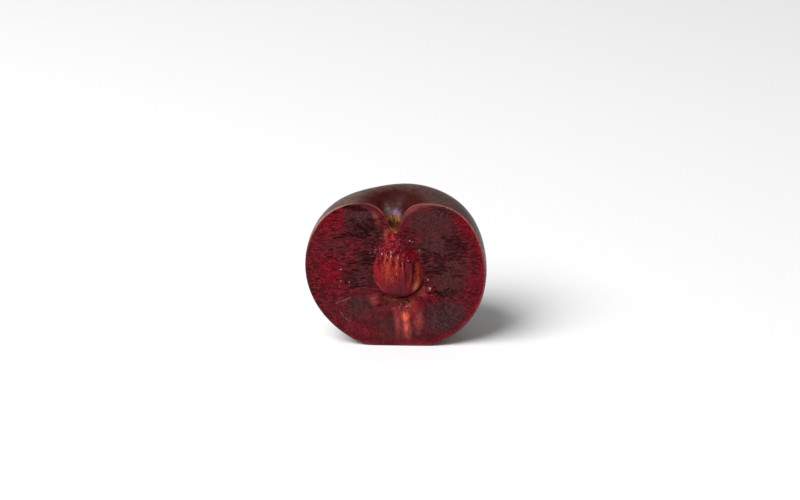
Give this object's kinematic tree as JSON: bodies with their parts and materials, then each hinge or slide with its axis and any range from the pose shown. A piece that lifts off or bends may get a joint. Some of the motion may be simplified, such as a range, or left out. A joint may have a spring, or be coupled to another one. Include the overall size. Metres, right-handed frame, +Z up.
{
  "type": "plum",
  "caption": "Half of a ripe dark plum, cut from stem to tip, with its stone in place, standing on a small flat spot at the blossom end. Food or still-life prop.",
  "frame": {"origin": "on the flat spot at the blossom end that the half rests on, below its weight", "axes": "+Z up from the flat spot towards the stem basin; -Y out of the cut face; +Y towards the back of the unpeeled cheek; +X to the right across the cut face as seen from the front"},
  "size_m": [0.0602, 0.0328, 0.0536],
  "materials": {
    "flesh_and_skin": "wet dark-red cut flesh with radial fibres, and smooth maroon-black skin with fine copper speckles and a soft sheen",
    "stone": "woody orange-brown shell with lengthwise ribs, stained red and wet with juice"
  },
  "bodies": {
    "root": {"plum_half": "flesh_and_skin", "stone": "stone"}
  },
  "joints": []
}
